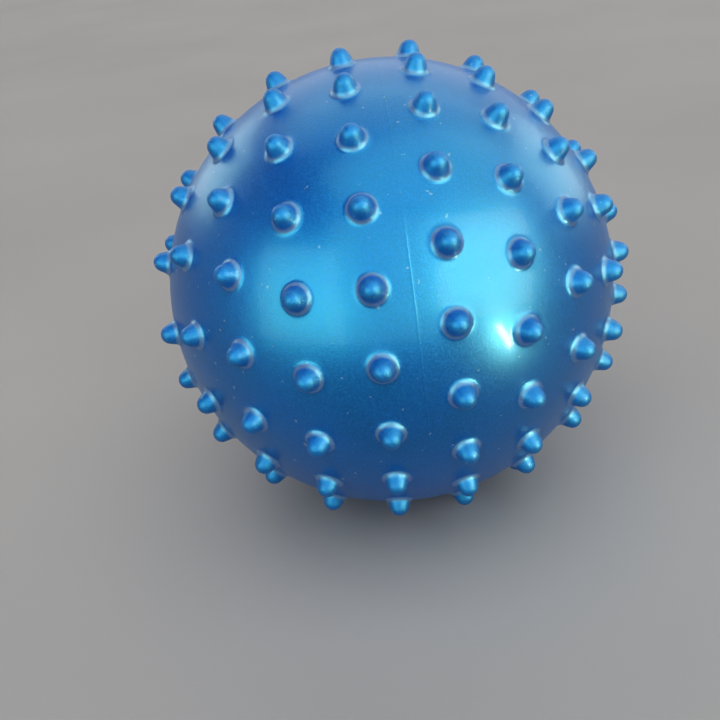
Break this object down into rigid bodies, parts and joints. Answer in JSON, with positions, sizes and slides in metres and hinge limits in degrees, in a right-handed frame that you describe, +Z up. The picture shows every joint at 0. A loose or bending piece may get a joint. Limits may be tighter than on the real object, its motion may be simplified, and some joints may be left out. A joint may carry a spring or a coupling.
{
  "type": "sensory ball",
  "caption": "Inflatable soft vinyl sensory ball with rows of rounded nubs over its whole skin and a plug valve at one pole.",
  "frame": {"origin": "middle of the ball's smooth skin", "axes": "+X along the mould's axis, towards the valve; +Z up when the ball lies on its nubs; -Y towards the picture's viewer"},
  "size_m": [0.1036, 0.1067, 0.1065],
  "materials": {
    "skin_vinyl": "glossy pearlescent blue soft vinyl",
    "seat_vinyl": "glossy blue soft vinyl",
    "plug_vinyl": "milky white soft vinyl"
  },
  "bodies": {
    "ball": {"ball_skin": "skin_vinyl", "valve_seat": "seat_vinyl"},
    "plug": {"valve_plug": "plug_vinyl"}
  },
  "joints": [
    {"name": "plug_pull", "type": "slide", "parent": "ball", "child": "plug", "axis": [1, 0, 0], "range_m": [0, 0.018]}
  ]
}
